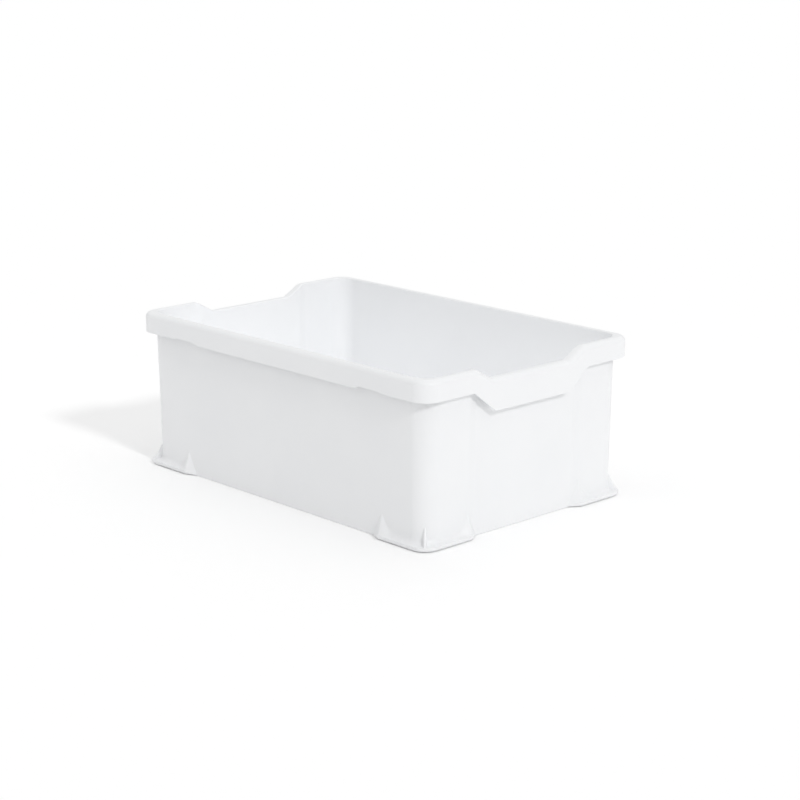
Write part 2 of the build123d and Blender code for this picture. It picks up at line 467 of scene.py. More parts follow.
def raise_block(height):
    """Raise all faces of the mesh being edited to a solid block and hand back its piece."""
    pick("FACE", lambda face: True)
    extrude((0, 0, height))
    face_outwards()
    return close_edit()


def is_upright(face):
    """Tell whether a face stands upright or nearly so."""
    return abs(face.normal.z) < UPRIGHT


def is_level(face):
    """Tell whether a face looks up."""
    return face.normal.z > LEVEL


def is_base(face):
    """Tell whether a face looks straight down."""
    return face.normal.z < -SQUARE


def is_top_edge(edge):
    """Tell whether an edge lies between an upright face and a face that looks up."""
    faces = edge.link_faces
    return len(faces) == 2 and any(map(is_upright, faces)) and any(map(is_level, faces))


def in_cut(edge, cuts):
    """Tell whether an edge lies in a cut between sections, each cut given as an axis and a place on it."""
    return any(lies_at(edge, axis, side * place) for axis, place in cuts for side in (-1, 1))


# Outlines


def add_outline(half_x, half_y, height, centre=(0, 0)):
    """Start a rectangular outline at a height, in the mesh being edited or in a new one."""
    if bpy.context.mode != "EDIT_MESH":
        bpy.ops.object.select_all(action="DESELECT")
    bpy.ops.mesh.primitive_plane_add(size=PLANE_SIDE, enter_editmode=True)
    bpy.ops.transform.resize(value=(half_x, half_y, 1))
    move((*centre, height))


def open_outline(height):
    """Leave only the edges of the outline at a height."""
    pick("FACE", lambda face: lies_at(face, Z, height))
    bpy.ops.mesh.delete(type="ONLY_FACE")


def close_outline(height):
    """Fill the outline at a height with a face."""
    pick("EDGE", lambda edge: lies_at(edge, Z, height))
    bpy.ops.mesh.edge_face_add()


def bridge(first_height, second_height):
    """Join the outlines at two heights with a band of faces."""
    pick("EDGE", lambda edge: lies_at(edge, Z, first_height) or lies_at(edge, Z, second_height))
    bpy.ops.mesh.bridge_edge_loops()


def add_rounded_outline(half_x, half_y, radius, height):
    """Add a rectangular outline with rounded corners."""
    add_outline(half_x, half_y, height)
    round_corners(
        lambda corner: near(abs(corner.co.x), half_x)
        and near(abs(corner.co.y), half_y)
        and near(corner.co.z, height),
        radius,
        CORNER_SEGMENTS,
    )


def add_wall_outline(crate, height, grow):
    """Add the walls' outline, with the recess in each end, grown outwards from its size at the ground."""
    half_x = crate.base_half_length + grow
    half_y = crate.base_half_width + grow
    back_x = half_x - crate.recess_depth
    half_turn = atan(crate.recess_depth / crate.recess_splay) / 2
    edge_y = crate.recess_width / 2 - grow * tan(half_turn)
    back_y = edge_y - crate.recess_splay
    least_radius = crate.edge_rounding

    def in_outline(item):
        """Tell whether a face or a vertex lies in this outline."""
        return lies_at(item, Z, height)

    add_outline(half_x, half_y, height)
    for cut_y in (-edge_y, -back_y, back_y, edge_y):
        pick("FACE", in_outline)
        bpy.ops.mesh.bisect(plane_co=on_axis(Y, cut_y), plane_no=on_axis(Y, 1))
    pick("VERT", lambda corner: in_outline(corner) and near(abs(corner.co.y), back_y))
    scale_from(on_axis(Z, height), (back_x / half_x, 1, 1))
    pick("FACE", in_outline)
    bpy.ops.mesh.dissolve_faces()
    round_corners(
        lambda corner: in_outline(corner) and near(abs(corner.co.y), half_y),
        max(crate.corner_radius + grow, least_radius),
        CORNER_SEGMENTS,
    )
    round_corners(
        lambda corner: in_outline(corner)
        and near(abs(corner.co.x), half_x)
        and near(abs(corner.co.y), edge_y),
        max(crate.recess_edge_radius + grow, least_radius) * tan(half_turn),
        EDGE_SEGMENTS,
    )
    round_corners(
        lambda corner: in_outline(corner) and near(abs(corner.co.x), back_x),
        max(crate.recess_back_radius - grow, least_radius) * tan(half_turn),
        EDGE_SEGMENTS,
    )
    open_outline(height)


def cove_steps(radius, top):
    """List the steps from a level top up a quarter round to a wall, each as a stand-off and a height."""
    turns = [pi / 2 * step / COVE_STEPS for step in range(COVE_STEPS + 1)]
    return [(radius * (1 - sin(turn)), top + radius * (1 - cos(turn))) for turn in turns]


# Walls and rim


def model_block(half_x, half_y, radius, bottom, top):
    """Model a block with rounded upright corners."""
    add_rounded_outline(half_x, half_y, radius, bottom)
    return raise_block(top - bottom)


def grip_fall(rim, place):
    """Tell how far the rim's top has gone down at a place along an end, round the bends beside the grip."""
    bend_run = rim.bend_radius * sin(rim.slope_angle)
    past_top = rim.slope_top_y + rim.bend_tangent - abs(place)
    past_grip = abs(place) - rim.grip_half + rim.bend_tangent
    if past_top <= 0:
        return 0
    if past_grip <= 0:
        return rim.grip_drop
    if past_top < bend_run:
        return rim.bend_radius - sqrt(rim.bend_radius ** 2 - past_top ** 2)
    if past_grip < bend_run:
        return rim.grip_drop - rim.bend_radius + sqrt(rim.bend_radius ** 2 - past_grip ** 2)
    return (rim.slope_top_y - abs(place)) * tan(rim.slope_angle)


def lower_grips(piece, level):
    """Bring what lies above a level down to the grips at both ends, with score lines along the bends."""
    rim = bpy.context.scene.rim_sizes
    edit(piece)
    for step in range(BEND_SEGMENTS + 1):
        run = rim.bend_radius * sin(rim.slope_angle * step / BEND_SEGMENTS)
        for bend_y in (rim.slope_top_y + rim.bend_tangent - run, rim.grip_half - rim.bend_tangent + run):
            score(Y, bend_y)
            score(Y, -bend_y)
    data = bpy.context.edit_object.data
    mesh = bmesh.from_edit_mesh(data)
    for corner in mesh.verts:
        if corner.co.z > level - NEAR:
            corner.co.z -= grip_fall(rim, corner.co.y)
    bmesh.update_edit_mesh(data)
    return close_edit()


def model_wall_inside(bottom, top):
    """Model the space inside the walls."""
    crate = bpy.context.scene.crate_sizes
    add_wall_outline(crate, bottom, crate.lean(bottom) - crate.wall_thickness)
    add_wall_outline(crate, top, crate.lean(top) - crate.wall_thickness)
    bridge(bottom, top)
    close_outline(bottom)
    close_outline(top)
    face_outwards()
    return close_edit()


def model_wall_shell():
    """Model the four walls as one shell that ends under the rim."""
    crate = bpy.context.scene.crate_sizes
    rim = bpy.context.scene.rim_sizes
    add_wall_outline(crate, 0, 0)
    add_wall_outline(crate, crate.height, crate.lean(crate.height))
    bridge(0, crate.height)
    face_outwards()
    shell = close_edit()
    solidify = shell.modifiers.new("Walls", "SOLIDIFY")
    solidify.thickness = crate.wall_thickness
    solidify.offset = -1
    solidify.use_even_offset = True
    bpy.ops.object.modifier_apply(modifier=solidify.name)
    top = crate.height - rim.thickness
    under_rim = model_block(crate.length / 2 + CLEAR, crate.width / 2 + CLEAR, rim.corner_radius, -CLEAR, top)
    combine(shell, under_rim, "INTERSECT")
    return lower_grips(shell, top)


def model_wall_section(crate, cuts):
    """Model what cuts leave of the walls, each given as an axis, a place on it and the side that goes."""
    wall = model_wall_shell()
    edit(wall)
    for axis, place, side in cuts:
        slice_off(axis, place, side)

    # Round the lower edges, leaving those in the cuts to the neighbours
    seams = ((X, crate.post_edge_x), (Y, crate.post_edge_y))
    pick("FACE", is_base)
    bpy.ops.mesh.dissolve_faces()
    round_edges(
        lambda edge: sum(map(is_base, edge.link_faces)) == 1 and not in_cut(edge, seams),
        crate.base_rounding,
        ROUNDING_SEGMENTS,
    )
    return close_edit()


def model_rim_ring():
    """Model the rim all round, with its skirt as deep as the grips need it."""
    crate = bpy.context.scene.crate_sizes
    rim = bpy.context.scene.rim_sizes
    half_x = crate.length / 2
    half_y = crate.width / 2
    bottom = crate.height - rim.grip_skirt
    ring = model_block(half_x, half_y, rim.corner_radius, bottom, crate.height)
    edit(ring)
    round_edges(is_top_edge, rim.edge_radius, EDGE_SEGMENTS)
    ring = close_edit()
    combine(ring, model_wall_inside(bottom - CLEAR, crate.height + CLEAR), "DIFFERENCE")
    edit(ring)
    mouth_x = half_x - crate.rim_overhang - crate.wall_thickness / 2
    mouth_y = half_y - crate.rim_overhang - crate.wall_thickness / 2
    round_edges(
        lambda edge: is_top_edge(edge)
        and all(abs(corner.co.x) < mouth_x and abs(corner.co.y) < mouth_y for corner in edge.verts),
        rim.inner_radius,
        EDGE_SEGMENTS,
    )
    ring = close_edit()
    inside = rim.thickness
    under_rim = model_block(
        half_x - inside, half_y - inside, rim.corner_radius - inside, bottom - CLEAR, crate.height - inside
    )
    edit(under_rim)
    round_edges(is_top_edge, rim.edge_radius - inside, EDGE_SEGMENTS)
    under_rim = close_edit()
    combine(ring, under_rim, "DIFFERENCE")
    return lower_grips(ring, crate.height - rim.edge_radius)


def round_skirt(crate, rim):
    """Round the lower edges of a rim section, leaving those in the cuts to its neighbours."""
    seams = ((X, crate.post_edge_x), (Y, rim.pad_edge_y))
    skirt_zone = crate.height - rim.notch_skirt + crate.edge_rounding

    def is_lower_edge(edge):
        """Tell whether an edge lies between an upright face and a face that looks down."""
        faces = edge.link_faces
        return (
            len(faces) == 2
            and any(map(is_upright, faces))
            and any(face.normal.z < SLOPING_DOWN for face in faces)
            and all(corner.co.z < skirt_zone for corner in edge.verts)
        )

    round_edges(
        lambda edge: is_lower_edge(edge) and not in_cut(edge, seams), crate.edge_rounding, FINE_SEGMENTS
    )


def keep_rim_section(ring, block, crate, rim):
    """Keep the part of the rim inside a block and round its lower edges."""
    combine(ring, block, "INTERSECT")
    edit(ring)
    round_skirt(crate, rim)
    return close_edit()


# Feet


class FootSide(NamedTuple):
    """One side of the front right foot: the axes along and across its wall, the place of its end along the
    wall and the way from there to the corner, the wall's distance from the middle and the way outwards."""

    along: int
    across: int
    end: float
    to_corner: int
    wall: float
    outward: int


def is_on_lip(corner, crate, foot):
    """Tell whether a vertex lies on the rounded outline of the feet's lip."""
    past_x = abs(corner.co.x) - foot.lip_half(crate.length) + foot.corner_radius
    past_y = abs(corner.co.y) - foot.lip_half(crate.width) + foot.corner_radius
    reach = hypot(past_x, past_y) if min(past_x, past_y) > 0 else max(past_x, past_y)
    return abs(reach - foot.corner_radius) < NEAR_ARC


def add_foot_bands(crate, foot, root):
    """Add bands from the lip's underside over the flange and up the root, then down behind it."""
    lip_top = foot.top - foot.crown
    hidden_bottom = foot.lift + SINK
    lip_half_x = foot.lip_half(crate.length)
    lip_half_y = foot.lip_half(crate.width)
    for height in (foot.lift, lip_top):
        add_rounded_outline(lip_half_x, lip_half_y, foot.corner_radius, height)
        open_outline(height)
    bridge(foot.lift, lip_top)
    last_height = lip_top
    for stand, height in (*root, (-SINK, hidden_bottom)):
        grow = crate.lean(height) + stand
        root_half_x = crate.base_half_length + grow
        root_half_y = crate.base_half_width + grow
        add_rounded_outline(root_half_x, root_half_y, crate.corner_radius + grow, height)
        open_outline(height)
        bridge(last_height, height)
        last_height = height
    bridge(hidden_bottom, foot.lift)
    face_outwards()
    for height, radius in ((foot.lift, foot.lip_rounding), (lip_top, crate.edge_rounding)):
        round_edges(
            lambda edge: lies_at(edge, Z, height)
            and all(is_on_lip(corner, crate, foot) for corner in edge.verts),
            radius,
            ROUNDING_SEGMENTS,
        )


def sweep_place(foot, side, cut):
    """Give the place along a side of a cut in the root's sweep, counted from the foot's end."""
    return side.end + side.to_corner * foot.gusset_corner_run * cut / SWEEP_CUTS


def sweep_root(crate, foot, side, root):
    """Sweep the root up to the gusset's apex towards the foot's end on one side."""
    rise = foot.gusset_height - foot.thickness
    root_top = root[COVE_STEPS][1]
    for cut in range(SWEEP_CUTS):
        place = sweep_place(foot, side, cut)
        sweep = (1 - cut / SWEEP_CUTS) ** 2
        for step, (stand, height) in enumerate(root[1:], start=1):
            share = min(step / COVE_STEPS, 1)
            new_height = foot.top + rise * share + max(height - root_top, 0)
            new_stand = foot.root_radius * (1 - share) ** SWEEP_CURVE + min(stand, 0)
            old_place = side.wall + crate.lean(height) + stand
            new_place = side.wall + crate.lean(new_height) + new_stand
            pick(
                "VERT",
                lambda corner: lies_at(corner, side.along, place)
                and lies_at(corner, Z, height)
                and lies_at(corner, side.across, side.outward * old_place),
            )
            shift = on_axis(side.across, side.outward * sweep * (new_place - old_place))
            shift[Z] = sweep * (new_height - height)
            move(shift)


def add_side_slope(crate, foot, side):
    """Add the gusset's far slope along the front wall."""
    run = foot.gusset_side_run
    wall_y = -crate.base_half_width - crate.lean(foot.lift)
    pick("FACE", lambda face: face.normal.x < -SQUARE and lies_at(face, X, side.end))
    extrude((-run, 0, 0))
    scale_from((side.end - run, wall_y, foot.lift), (1, TIP_SHARE, TIP_SHARE))


def add_end_slope(crate, foot, side):
    """Add the gusset's far slope along the right end, which bends into the recess."""
    run = foot.gusset_end_run
    wall_x = crate.base_half_length + crate.lean(foot.lift)
    back_x = wall_x - crate.recess_depth
    flare = foot.lip_half(crate.length) - wall_x
    back_run = -side.end - crate.recess_width / 2 + crate.recess_splay
    left_over = 1 - back_run / run
    widen = (flare + crate.recess_depth) * left_over / flare
    pick("FACE", lambda face: face.normal.y > SQUARE and lies_at(face, Y, side.end))
    extrude((0, back_run, 0))
    scale_from((wall_x, side.end + back_run, foot.lift), (widen, 1, left_over))
    move((-crate.recess_depth, 0, 0))
    extrude((0, run - back_run, 0))
    scale_from((back_x, side.end + run, foot.lift), (TIP_SHARE, 1, TIP_SHARE))


def model_foot(crate, foot):
    """Model the front right foot: a flange with a rounded root that sweeps up to a gusset at each end."""
    root = cove_steps(foot.root_radius, foot.top)
    root.append((-SINK, root[-1][1] + foot.thickness))
    add_foot_bands(crate, foot, root)
    front = FootSide(X, Y, crate.length / 2 - foot.reach, 1, crate.base_half_width, -1)
    end = FootSide(Y, X, foot.end_reach - crate.width / 2, -1, crate.base_half_length, 1)
    sides = (front, end)
    for side in sides:
        slice_off(side.along, side.end, -side.to_corner)
    for cut in range(1, SWEEP_CUTS + 1):
        for side in sides:
            score(side.along, sweep_place(foot, side, cut))
    for side in sides:
        sweep_root(crate, foot, side, root)
    add_side_slope(crate, foot, front)
    add_end_slope(crate, foot, end)
    face_outwards()
    for side in sides:
        round_edges(
            lambda edge: lies_at(edge, side.along, side.end)
            and all(
                face.normal.z > SLOPING_DOWN and side.outward * face.normal[side.across] > TURNED_BACK
                for face in edge.link_faces
            ),
            foot.ridge_rounding,
            ROUNDING_SEGMENTS,
        )
    face_outwards()
    return close_edit()


def model_fin(crate, foot):
    """Model the thin fin that props the corner of the flange, on the corner's diagonal."""
    inner = crate.corner_radius - crate.wall_thickness / 2
    outer = crate.corner_radius + foot.fin_reach
    low = foot.top - foot.thickness / 2
    tall = foot.fin_height + foot.thickness / 2
    start_block((outer - inner, foot.fin_thickness, tall), ((inner + outer) / 2, 0, low + tall / 2))
    pick("VERT", lambda corner: near(corner.co.x, outer) and corner.co.z > foot.top)
    move((0, 0, foot.top - low - tall + SINK))
    for step in range(1, FIN_STEPS):
        share = step / FIN_STEPS
        place = inner + share * (outer - inner)
        score(X, place)
        pick("VERT", lambda corner: near(corner.co.x, place) and corner.co.z > low + NEAR)
        # The hollow is a parabola, as deep as its size says halfway along
        move((0, 0, -4 * share * (1 - share) * foot.fin_hollow))
    pick("VERT", lambda corner: near(corner.co.z, low))
    scale_from((0, 0, 0), (1, foot.fin_root / foot.fin_thickness, 1))
    face_outwards()
    round_edges(
        lambda edge: any(face.normal.z > SLOPING_UP for face in edge.link_faces)
        and any(abs(face.normal.y) > SQUARE for face in edge.link_faces),
        foot.fin_rounding,
        ROUNDING_SEGMENTS,
    )
    face_outwards()
    fin = close_edit()
    fin.rotation_euler.z = -pi / 4
    fin.location.x = crate.base_half_length - crate.corner_radius
    fin.location.y = crate.corner_radius - crate.base_half_width
    bpy.ops.object.transform_apply(location=True, rotation=True, scale=False)
    return fin


# Finish


def plastic():
    """Build the moulded white plastic once: faint flow clouds, fine grain, light rubbing on the feet and the
    rim, and painted shade that darkens the marks towards the ground.
    """
    if PLASTIC in bpy.data.materials:
        return bpy.data.materials[PLASTIC]
    finish = bpy.context.scene.crate_finish
    material = bpy.data.materials.new(PLASTIC)
    material.use_nodes = True
    nodes = material.node_tree.nodes
    links = material.node_tree.links
    shader = nodes["Principled BSDF"]
    shader.inputs["IOR"].default_value = PLASTIC_IOR
    place = nodes.new("ShaderNodeTexCoord").outputs["Object"]

    def noise(scale, detail, roughness):
        """Add a noise pattern on the piece's own place, with its scale in waves per metre."""
        node = nodes.new("ShaderNodeTexNoise")
        node.inputs["Scale"].default_value = scale
        node.inputs["Detail"].default_value = detail
        node.inputs["Roughness"].default_value = roughness
        links.new(place, node.inputs["Vector"])
        return node.outputs["Fac"]

    def spread(value, low, high, to_low, to_high):
        """Stretch a value's range to another one."""
        node = nodes.new("ShaderNodeMapRange")
        node.inputs["From Min"].default_value = low
        node.inputs["From Max"].default_value = high
        node.inputs["To Min"].default_value = to_low
        node.inputs["To Max"].default_value = to_high
        links.new(value, node.inputs["Value"])
        return node.outputs["Result"]

    def calculate(operation, first, second):
        """Put two values together and keep the result between 0 and 1."""
        node = nodes.new("ShaderNodeMath")
        node.operation = operation
        node.use_clamp = True
        links.new(first, node.inputs[0])
        links.new(second, node.inputs[1])
        return node.outputs["Value"]

    def mix(factor, first, second):
        """Mix two colours, the first a colour or a socket."""
        node = nodes.new("ShaderNodeMix")
        node.data_type = "RGBA"
        links.new(factor, node.inputs["Factor"])
        if isinstance(first, bpy.types.NodeSocket):
            links.new(first, node.inputs[MIX_FIRST])
        else:
            node.inputs[MIX_FIRST].default_value = (*first, 1)
        node.inputs[MIX_SECOND].default_value = (*second, 1)
        return node.outputs[MIX_RESULT]

    def bump(pattern, amount, depth):
        """Turn a pattern into relief."""
        node = nodes.new("ShaderNodeBump")
        node.inputs["Strength"].default_value = amount
        node.inputs["Distance"].default_value = depth
        links.new(pattern, node.inputs["Height"])
        return node

    split = nodes.new("ShaderNodeSeparateXYZ")
    links.new(place, split.inputs["Vector"])
    height = split.outputs["Z"]
    top = bpy.context.scene.crate_sizes.height
    # Painted shade: near the ground the rubbing marks darken towards the bottom, where the shade under the
    # feet's lip falls; near the rim's top they are rubbing
    near_ground = spread(height, low=0.0, high=GROUND_RUB_AND_SHADE, to_low=1.0, to_high=0.0)
    near_top = spread(height, low=top - TOP_RUB, high=top, to_low=0.0, to_high=0.6)
    marks = spread(
        noise(scale=220, detail=4, roughness=0.65), low=0.56, high=0.74, to_low=0.0, to_high=0.6
    )
    scuffs_and_ground_shade = calculate("MULTIPLY", marks, calculate("MAXIMUM", near_ground, near_top))
    clouds = spread(noise(scale=9, detail=3, roughness=0.55), low=0.35, high=0.7, to_low=0.0, to_high=1.0)
    clean = mix(clouds, tuple(finish.plastic_color), tuple(finish.shade_color))
    links.new(mix(scuffs_and_ground_shade, clean, tuple(finish.scuff_and_shade_color)), shader.inputs["Base Color"])

    sheen = spread(
        noise(scale=35, detail=2, roughness=0.5),
        low=0.3, high=0.7, to_low=finish.roughness - 0.05, to_high=finish.roughness + 0.06,
    )
    dulling = spread(scuffs_and_ground_shade, low=0.0, high=1.0, to_low=0.0, to_high=0.25)
    links.new(calculate("ADD", sheen, dulling), shader.inputs["Roughness"])

    grain = bump(noise(scale=1400, detail=3, roughness=0.6), amount=0.35, depth=finish.grain_depth)
    waves = bump(noise(scale=14, detail=1, roughness=0.4), amount=0.25, depth=finish.wave_depth)
    links.new(grain.outputs["Normal"], waves.inputs["Normal"])
    links.new(waves.outputs["Normal"], shader.inputs["Normal"])
    return material


def dress(piece, node):
    """Name a finished piece, smooth it, give it its plastic and put it in its node's place."""
    alone(piece)
    piece.name = f"{node}_moulded"
    piece.data.name = piece.name
    bpy.ops.object.shade_smooth_by_angle(angle=SMOOTH_ANGLE)
    weighted = piece.modifiers.new("Normals", "WEIGHTED_NORMAL")
    weighted.keep_sharp = True
    bpy.ops.object.modifier_apply(modifier=weighted.name)
    piece.data.materials.clear()
    piece.data.materials.append(plastic())
    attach(piece, BODY)
    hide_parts(node)


def dress_pair(piece, sides, names):
    """Finish a section and its mirror image on the other side of the crate."""
    image = mirrored(piece, *sides)
    dress(piece, names[0])
    dress(image, names[1])


def dress_corners(piece, kind):
    """Finish the front right corner's section and its images at the other corners."""
    images = [(mirrored(piece, x_side, y_side), corner) for corner, x_side, y_side in CORNERS[1:]]
    dress(piece, f"{CORNERS[0][0]}_{kind}")
    for image, corner in images:
        dress(image, f"{corner}_{kind}")


# Studio


def direction(azimuth, elevation):
    """Give the direction from the crate to a place at an azimuth from its front and an elevation."""
    return Vector((sin(azimuth) * cos(elevation), -cos(azimuth) * cos(elevation), sin(elevation)))


def add_floor(stage):
    """Add the pale floor, which gives off a little light."""
    bpy.ops.object.select_all(action="DESELECT")
    bpy.ops.mesh.primitive_plane_add(size=stage.floor_size)
    floor = bpy.context.object
    floor.name = "studio_floor"
    paint = bpy.data.materials.new("floor_paint")
    paint.use_nodes = True
    sockets = paint.node_tree.nodes["Principled BSDF"].inputs
    sockets["Base Color"].default_value = (*stage.floor_color, 1)
    sockets["Roughness"].default_value = FLOOR_ROUGHNESS
    sockets["Specular IOR Level"].default_value = 0.0
    sockets["Emission Color"].default_value = WHITE
    sockets["Emission Strength"].default_value = stage.floor_glow
    floor.data.materials.append(paint)


def add_sky(stage):
    """Light the studio from all round, brightest from overhead and a little towards the backdrop."""
    world = bpy.data.worlds.new("studio_light")
    world.use_nodes = True
    nodes = world.node_tree.nodes
    links = world.node_tree.links
    sky = nodes["Background"]
    sky.inputs["Color"].default_value = WHITE
    facing = nodes.new("ShaderNodeVectorMath")
    facing.operation = "DOT_PRODUCT"
    facing.inputs[1].default_value = direction(stage.azimuth + pi, pi / 2 - stage.top_tilt)
    links.new(nodes.new("ShaderNodeTexCoord").outputs["Generated"], facing.inputs[0])
    rise = nodes.new("ShaderNodeMapRange")
    rise.inputs["To Min"].default_value = stage.side_strength
    rise.inputs["To Max"].default_value = stage.top_strength
    links.new(facing.outputs["Value"], rise.inputs["Value"])
    links.new(rise.outputs["Result"], sky.inputs["Strength"])
    bpy.context.scene.world = world


def add_key(stage):
    """Add the soft key light."""
    toward_key = direction(stage.key_azimuth, stage.key_elevation)
    bpy.ops.object.light_add(type="SUN", rotation=toward_key.to_track_quat("Z", "Y").to_euler())
    key = bpy.context.object.data
    key.energy = stage.key_strength
    key.angle = stage.key_softness


def add_glow(place, facing, width, span, glow):
    """Add a soft light just behind a face, for the light that white plastic lets through."""
    low, high = span
    turn = Vector(facing).to_track_quat("-Z", "Y").to_euler()
    bpy.ops.object.light_add(type="AREA", location=(*place, (low + high) / 2), rotation=turn)
    card = bpy.context.object
    card.visible_camera = False
    card.data.shape = "RECTANGLE"
    card.data.size = width
    card.data.size_y = high - low
    card.data.energy = glow * pi * card.data.size * card.data.size_y


def add_glows(crate, rim, stage):
    """Add the light through the front wall, the right end, the skirt of its grip and the rim above that."""
    wall_inset = 2 * crate.wall_thickness
    front_y = wall_inset - crate.base_half_width
    right_x = crate.base_half_length - crate.recess_depth - wall_inset
    skirt_x = crate.length / 2 - 2 * rim.thickness
    front_width = 2 * (crate.base_half_length - crate.corner_radius)
    end_width = 2 * (crate.base_half_width - crate.corner_radius)
    grip_top = crate.height - rim.grip_drop
    wall_span = (crate.height * (1 - CARD_SHARE) / 2, crate.height * (1 + CARD_SHARE) / 2)
    skirt_span = (crate.height - rim.grip_skirt, grip_top - rim.edge_radius)
    rim_span = (crate.height - rim.pad_skirt, grip_top - 2 * rim.thickness)
    to_back = (0, 1, 0)
    to_left = (-1, 0, 0)
    add_glow((0, front_y), to_back, front_width, wall_span, stage.front_glow)
    add_glow((right_x, 0), to_left, end_width, wall_span, stage.end_glow)
    add_glow((skirt_x, 0), to_left, rim.skirt_width, skirt_span, stage.skirt_glow)
    add_glow((skirt_x, 0), to_left, end_width, rim_span, stage.rim_glow)


def add_camera(stage):
    """Add the camera at the photograph's angle."""
    toward_eye = direction(stage.azimuth, stage.elevation)
    eye = Vector(stage.target) + stage.distance * toward_eye
    bpy.ops.object.camera_add(location=eye, rotation=toward_eye.to_track_quat("Z", "Y").to_euler())
    camera = bpy.context.object
    camera.data.sensor_width = SENSOR_WIDTH
    camera.data.lens = stage.lens
    camera.data.clip_end = stage.floor_size
    bpy.context.scene.camera = camera


# Operators


class CRATE_OT_long_walls(Operator):
    """Model the plain front and back walls"""

    bl_idname = "crate.long_walls"
    bl_label = "Long Walls"

    def execute(self, context):
        crate = context.scene.crate_sizes
        cuts = ((X, crate.post_edge_x, 1), (X, -crate.post_edge_x, -1), (Y, 0, 1))
        dress_pair(model_wall_section(crate, cuts), (1, -1), ("front_wall", "back_wall"))
        return {"FINISHED"}


class CRATE_OT_end_walls(Operator):
    """Model the end walls with the recess behind each grip"""

    bl_idname = "crate.end_walls"
    bl_label = "End Walls"

    def execute(self, context):
        crate = context.scene.crate_sizes
        cuts = ((Y, crate.post_edge_y, 1), (Y, -crate.post_edge_y, -1), (X, 0, -1))
        dress_pair(model_wall_section(crate, cuts), (-1, 1), ("right_end_wall", "left_end_wall"))
        return {"FINISHED"}


class CRATE_OT_corner_posts(Operator):
    """Model the rounded corners of the walls"""

    bl_idname = "crate.corner_posts"
    bl_label = "Corner Posts"

    def execute(self, context):
        crate = context.scene.crate_sizes
        cuts = ((X, crate.post_edge_x, -1), (Y, -crate.post_edge_y, 1))
        dress_corners(model_wall_section(crate, cuts), "corner_post")
        return {"FINISHED"}


class CRATE_OT_rim_rails(Operator):
    """Model the rim along the long sides, with the notches beside its corners"""

    bl_idname = "crate.rim_rails"
    bl_label = "Rim Rails"

    def execute(self, context):
        crate = context.scene.crate_sizes
        rim = context.scene.rim_sizes
        ring = model_rim_ring()
        edge_x = crate.post_edge_x
        notch_x = edge_x - rim.notch_length
        ramp = rim.notch_ramp
        rail_bottom = crate.height - rim.rail_skirt
        add_outline(edge_x, crate.width / 4 + CLEAR, rail_bottom, (0, -crate.width / 2))
        for cut_x in (notch_x, notch_x + ramp, edge_x - ramp):
            score(X, cut_x)
            score(X, -cut_x)
        lifts = (
            (notch_x + ramp, rim.rail_skirt - rim.notch_skirt),
            (edge_x - ramp, rim.rail_skirt - rim.notch_skirt),
            (edge_x, rim.rail_skirt - rim.pad_skirt),
        )
        for lift_x, lift in lifts:
            pick("VERT", lambda corner: near(abs(corner.co.x), lift_x))
            move((0, 0, lift))
        rail = keep_rim_section(ring, raise_block(rim.rail_skirt + CLEAR), crate, rim)
        dress_pair(rail, (1, -1), ("front_rim_rail", "back_rim_rail"))
        return {"FINISHED"}


class CRATE_OT_grip_rails(Operator):
    """Model the lowered grips in the ends of the rim"""

    bl_idname = "crate.grip_rails"
    bl_label = "Grip Rails"

    def execute(self, context):
        crate = context.scene.crate_sizes
        rim = context.scene.rim_sizes
        ring = model_rim_ring()
        pad_bottom = crate.height - rim.pad_skirt
        fall = rim.grip_skirt - rim.pad_skirt
        low_half = rim.skirt_width / 2
        high_half = low_half + rim.skirt_slope
        bends = (-high_half, -low_half, low_half, high_half)
        add_outline(crate.length / 4 + CLEAR, rim.pad_edge_y, pad_bottom, (crate.length / 2, 0))
        for bend_y in bends:
            score(Y, bend_y)
        pick("VERT", lambda corner: abs(corner.co.y) < low_half + NEAR)
        move((0, 0, -fall))
        round_edges(
            lambda edge: any(lies_at(edge, Y, bend_y) for bend_y in bends),
            rim.lower_bend_radius * tan(atan(fall / rim.skirt_slope) / 2),
            BEND_SEGMENTS,
        )
        grip = keep_rim_section(ring, raise_block(rim.grip_skirt + CLEAR), crate, rim)
        dress_pair(grip, (-1, 1), ("right_grip_rail", "left_grip_rail"))
        return {"FINISHED"}


class CRATE_OT_rim_pads(Operator):
    """Model the rim's corners, which carry the crate above"""

    bl_idname = "crate.rim_pads"
    bl_label = "Rim Pads"

    def execute(self, context):
        crate = context.scene.crate_sizes
        rim = context.scene.rim_sizes
        pad = model_rim_ring()
        edit(pad)
        slice_off(X, crate.post_edge_x, -1)
        slice_off(Y, -rim.pad_edge_y, 1)
        slice_off(Z, crate.height - rim.pad_skirt, -1)
        round_skirt(crate, rim)
        dress_corners(close_edit(), "rim_pad")
        return {"FINISHED"}


class CRATE_OT_corner_feet(Operator):
    """Model the flared corner feet with their swept-up ends and corner fin"""

    bl_idname = "crate.corner_feet"
    bl_label = "Corner Feet"

    def execute(self, context):
        crate = context.scene.crate_sizes
        foot = context.scene.foot_sizes
        piece = model_foot(crate, foot)
        combine(piece, model_fin(crate, foot), "UNION")

        # Corners between only two faces would come out as doubled triangles
        edit(piece)
        pick("VERT", lambda corner: len(corner.link_edges) == 2)
        bpy.ops.mesh.dissolve_verts()
        dress_corners(close_edit(), "corner_foot")
        return {"FINISHED"}


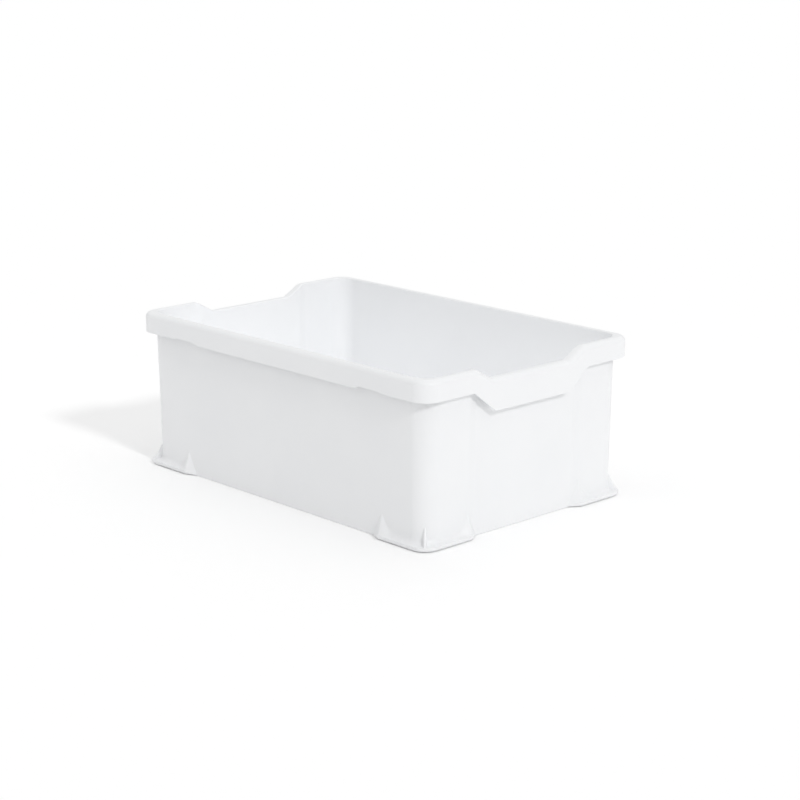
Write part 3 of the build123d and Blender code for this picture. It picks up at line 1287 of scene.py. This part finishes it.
class CRATE_OT_floor_panel(Operator):
    """Model the closed floor with its cove to the walls"""

    bl_idname = "crate.floor_panel"
    bl_label = "Floor Panel"

    def execute(self, context):
        crate = context.scene.crate_sizes
        top = crate.floor_lift + crate.floor_thickness
        rings = [(0, crate.floor_lift), (-SINK, top + crate.floor_cove + crate.floor_thickness)]
        rings.extend(reversed(cove_steps(crate.floor_cove, top)))
        for index, (stand, height) in enumerate(rings):
            add_wall_outline(crate, height, crate.lean(height) - crate.wall_thickness - stand)
            if index:
                bridge(rings[index - 1][1], height)
        close_outline(rings[0][1])
        close_outline(rings[-1][1])
        face_outwards()
        dress(close_edit(), "floor_panel")
        return {"FINISHED"}


class CRATE_OT_floor_ribs(Operator):
    """Model the grid of ribs under the floor"""

    bl_idname = "crate.floor_ribs"
    bl_label = "Floor Ribs"

    def execute(self, context):
        crate = context.scene.crate_sizes
        rows = ((crate.length, crate.rib_thickness, crate.floor_lift), (0, crate.width), crate.rib_rows)
        columns = ((crate.rib_thickness, crate.width, crate.floor_lift), (crate.length, 0), crate.rib_columns)
        bars = []
        for size, (field_x, field_y), count in (rows, columns):
            for index in range(count):
                share = (index + 1) / (count + 1) - 0.5
                start_block(size, (share * field_x, share * field_y, crate.floor_lift / 2))
                bars.append(close_edit())
        ribs = bars[0]
        for bar in bars[1:]:
            combine(ribs, bar, "UNION")
        combine(ribs, model_wall_inside(-CLEAR, CLEAR), "INTERSECT")
        edit(ribs)
        bpy.ops.mesh.select_all(action="SELECT")
        bpy.ops.mesh.dissolve_limited(angle_limit=FLAT_ANGLE)
        round_edges(
            lambda edge: lies_at(edge, Z, 0) and any(map(is_upright, edge.link_faces)),
            crate.edge_rounding / 2,
            FINE_SEGMENTS,
        )
        dress(close_edit(), "floor_ribs")
        return {"FINISHED"}


class CRATE_OT_stage(Operator):
    """Set up the pale floor, the soft light and the camera"""

    bl_idname = "crate.stage"
    bl_label = "Stage"

    def execute(self, context):
        scene = context.scene
        stage = scene.crate_stage
        scene.view_settings.view_transform = "Standard"
        add_floor(stage)
        add_sky(stage)
        add_key(stage)
        add_glows(scene.crate_sizes, scene.rim_sizes, stage)
        add_camera(stage)
        return {"FINISHED"}


class CRATE_PT_sections(Panel):
    """List the crate's sections, sizes and finish"""

    bl_idname = "CRATE_PT_sections"
    bl_label = "Harvest Crate"
    bl_space_type = "VIEW_3D"
    bl_region_type = "UI"
    bl_category = "Crate"

    def draw(self, context):
        layout = self.layout
        for operator in OPERATORS:
            layout.operator(operator.bl_idname)
        for name in SETTINGS:
            settings = getattr(context.scene, name)
            box = layout.box()
            for key in settings.bl_rna.properties.keys():
                if key not in ("rna_type", "name"):
                    box.prop(settings, key)


OPERATORS = (
    CRATE_OT_long_walls,
    CRATE_OT_end_walls,
    CRATE_OT_corner_posts,
    CRATE_OT_rim_rails,
    CRATE_OT_grip_rails,
    CRATE_OT_rim_pads,
    CRATE_OT_corner_feet,
    CRATE_OT_floor_panel,
    CRATE_OT_floor_ribs,
    CRATE_OT_stage,
)
SETTINGS = {
    "crate_sizes": CrateSizes,
    "rim_sizes": RimSizes,
    "foot_sizes": FootSizes,
    "crate_finish": FinishSettings,
    "crate_stage": StageSettings,
}
CLASSES = (*SETTINGS.values(), *OPERATORS, CRATE_PT_sections)


def register():
    """Register the classes and hang the settings on the scene."""
    for item in CLASSES:
        bpy.utils.register_class(item)
    for name, group in SETTINGS.items():
        setattr(bpy.types.Scene, name, PointerProperty(type=group))


def unregister():
    """Take the settings off the scene and forget the classes."""
    for name in SETTINGS:
        delattr(bpy.types.Scene, name)
    for item in reversed(CLASSES):
        bpy.utils.unregister_class(item)


def main():
    """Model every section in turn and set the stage."""
    register()
    for operator in OPERATORS:
        group, name = operator.bl_idname.split(".")
        getattr(getattr(bpy.ops, group), name)()


if __name__ == "__main__":
    main()
